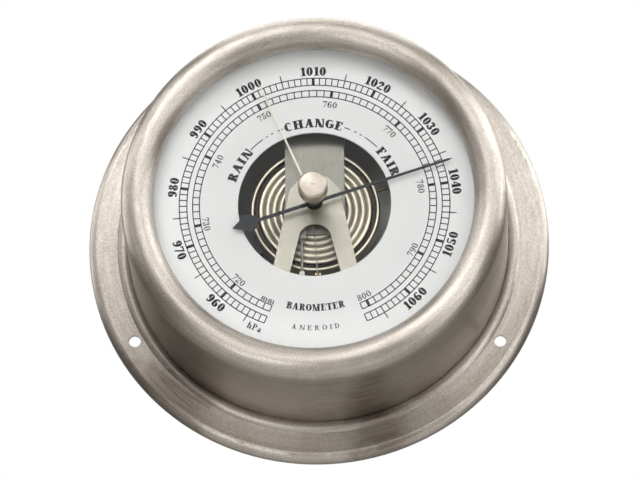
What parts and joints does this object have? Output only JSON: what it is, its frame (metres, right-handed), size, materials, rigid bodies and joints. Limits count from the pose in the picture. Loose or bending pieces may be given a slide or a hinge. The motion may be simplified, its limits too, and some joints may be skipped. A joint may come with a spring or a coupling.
{
  "type": "aneroid barometer",
  "caption": "Round bulkhead aneroid barometer: spun flanged case, printed open-centre dial under glass, pointer driven by a corrugated capsule, and a set hand with a front knob.",
  "frame": {"origin": "centre of the wall plane behind the flange, on the dial's axis", "axes": "+Z is 12 o'clock, +X is 3 o'clock, +Y points into the wall, so the dial faces -Y"},
  "size_m": [0.125, 0.0479, 0.125],
  "materials": {
    "case_metal": "circular brushed, warm",
    "lid_paint": "matt black",
    "black_plastic": "matt",
    "dial_paint": "satin white",
    "spacer_plastic": "matt",
    "dial_glass": "clear",
    "gasket_rubber": "matt",
    "base_metal": "zinc plated",
    "pillar_metal": "turned",
    "screw_metal": "plated",
    "capsule_metal": "pressed nickel silver",
    "brass_metal": "turned",
    "copper_metal": "drawn",
    "spring_metal": "satin spring steel",
    "lever_metal": "polished",
    "tip_metal": "bright",
    "chain_metal": "drawn",
    "bridge_metal": "satin nickel",
    "hairspring_metal": "rolled",
    "pointer_paint": "black",
    "hand_paint": "cream",
    "bush_paint": "black",
    "knob_metal": "turned, satin"
  },
  "bodies": {
    "case": {"case_shell": "case_metal", "back_cover": "lid_paint", "dial_sleeve": "black_plastic", "dial": "dial_paint", "glass_spacer_ring": "spacer_plastic", "glass": "dial_glass", "glass_gasket": "gasket_rubber", "base_plate": "base_metal", "base_pillars": "pillar_metal", "cover_screws": "screw_metal", "base_screws": "screw_metal", "rim_stop_block": "black_plastic", "capsule_front": "capsule_metal", "capsule_back": "capsule_metal", "capsule_post": "brass_metal", "capsule_nut": "brass_metal", "seal_tube": "copper_metal", "spring_clamp": "base_metal", "spring_screws": "screw_metal", "rocker_bracket": "base_metal", "bracket_screws": "screw_metal", "arbor_bridge": "bridge_metal", "bridge_pillars": "pillar_metal", "bridge_screws": "screw_metal", "pillar_screws": "screw_metal", "bridge_bush": "brass_metal", "arbor_cock": "brass_metal", "cock_spacers": "brass_metal", "cock_screws": "screw_metal", "hairspring": "hairspring_metal", "hairspring_stud": "brass_metal", "glass_bush": "bush_paint", "bush_nut": "bush_paint", "adjusting_bush": "brass_metal"},
    "pointer": {"pressure_pointer": "pointer_paint", "pointer_collet": "pointer_paint", "pointer_arbor": "lever_metal", "chain_drum": "brass_metal", "hairspring_collet": "brass_metal"},
    "chain": {"drive_chain": "chain_metal"},
    "rocker": {"rocker_shaft": "lever_metal", "crank_arm": "brass_metal", "pull_arm": "brass_metal"},
    "spring": {"main_spring": "spring_metal", "lever_block": "lever_metal", "lever_rod": "lever_metal", "rod_tip_block": "tip_metal", "link_wire": "lever_metal"},
    "capsule_centre": {"capsule_stud": "brass_metal"},
    "set_group": {"set_hand": "hand_paint", "set_shaft": "lever_metal", "set_knob": "knob_metal", "knob_washer": "lever_metal"},
    "adjuster": {"adjusting_screw": "brass_metal"}
  },
  "joints": [
    {"name": "pointer_turn", "type": "hinge", "parent": "case", "child": "pointer", "pos_m": [0, -0.031, 0], "axis": [0, 1, 0], "range_deg": [-230.2, 85.4], "deforming": ["hairspring"]},
    {"name": "chain_pull", "type": "slide", "parent": "case", "child": "chain", "axis": [-0.0722, 0, 0.9974], "range_m": [-0.00322, 0.0012]},
    {"name": "rocker_swing", "type": "hinge", "parent": "case", "child": "rocker", "pos_m": [0, -0.01714, -0.02035], "axis": [-1, 0, 0], "range_deg": [-14.2, 5.3]},
    {"name": "spring_flex", "type": "hinge", "parent": "case", "child": "spring", "pos_m": [0, -0.01392, 0.016], "axis": [1, 0, 0], "range_deg": [-0.62, 0.23]},
    {"name": "capsule_breath", "type": "slide", "parent": "case", "child": "capsule_centre", "axis": [0, 1, 0], "range_m": [-0.000172, 0.000064], "deforming": ["capsule_front"]},
    {"name": "knob_turn", "type": "hinge", "parent": "case", "child": "set_group", "pos_m": [0, -0.0365, 0], "axis": [0, 1, 0], "continuous": true},
    {"name": "adjuster_turn", "type": "hinge", "parent": "case", "child": "adjuster", "pos_m": [0, -0.0115, 0.022], "axis": [0, 1, 0], "range_deg": [-180, 180]}
  ],
  "couplings": [
    {"joint": "chain_pull", "follows": "pointer_turn", "m_per_rad": 0.0008},
    {"joint": "rocker_swing", "follows": "pointer_turn", "ratio": 0.061538},
    {"joint": "spring_flex", "follows": "pointer_turn", "ratio": 0.0026484},
    {"joint": "capsule_breath", "follows": "pointer_turn", "m_per_rad": 0.000042374}
  ]
}
